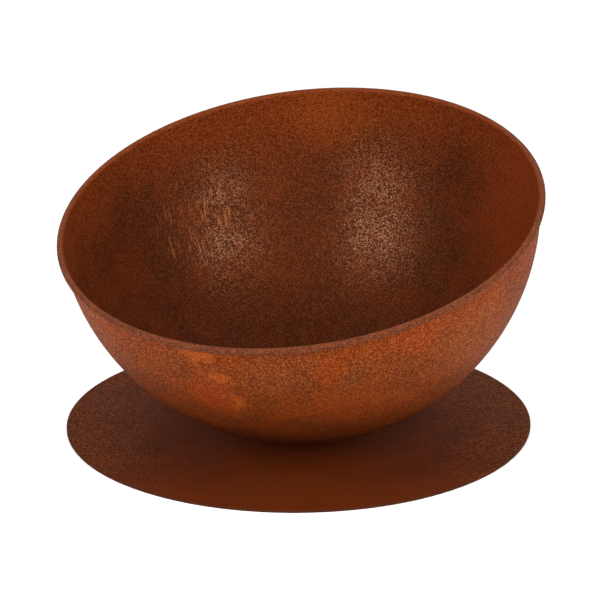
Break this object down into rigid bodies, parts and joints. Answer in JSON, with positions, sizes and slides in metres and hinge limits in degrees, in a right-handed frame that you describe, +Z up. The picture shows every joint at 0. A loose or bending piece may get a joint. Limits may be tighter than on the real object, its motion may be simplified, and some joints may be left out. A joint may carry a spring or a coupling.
{
  "type": "fire pit with grate",
  "caption": "Tilted hemispherical fire bowl of rusted sheet steel, standing on a round flat base plate, with a lift-out round log grate of welded rods.",
  "frame": {"origin": "centre of the base plate's underside, which lies flat on the ground", "axes": "+Z up; the open side of the bowl leans towards -Y and is turned a little towards -X; +X is to the right as seen from the open side"},
  "size_m": [0.576, 0.5937, 0.3619],
  "materials": {
    "weathered_steel": "matt orange-brown rust patina with fine grain",
    "plate_steel": "matt dark brown rust patina with fine grain",
    "fired_steel": "heat-blackened mill scale with rust bloom",
    "fixing_steel": "lightly rusted steel"
  },
  "bodies": {
    "stand": {"base_plate": "plate_steel", "bowl": "weathered_steel", "seat_ring": "fixing_steel", "weld_stud": "fixing_steel", "dished_washer": "fixing_steel", "spring_washer": "fixing_steel", "fixing_nut": "fixing_steel"},
    "grate": {"grate_ring": "fired_steel", "grate_cross_bar_front": "fired_steel", "grate_cross_bar_back": "fired_steel", "grate_log_bar_1": "fired_steel", "grate_log_bar_2": "fired_steel", "grate_log_bar_3": "fired_steel", "grate_log_bar_4": "fired_steel", "grate_log_bar_5": "fired_steel", "grate_log_bar_6": "fired_steel", "grate_log_bar_7": "fired_steel", "grate_log_bar_8": "fired_steel", "grate_log_bar_9": "fired_steel"}
  },
  "joints": [
    {"name": "grate_lift", "type": "slide", "parent": "stand", "child": "grate", "axis": [0, 0, 1], "range_m": [0, 0.34]}
  ]
}
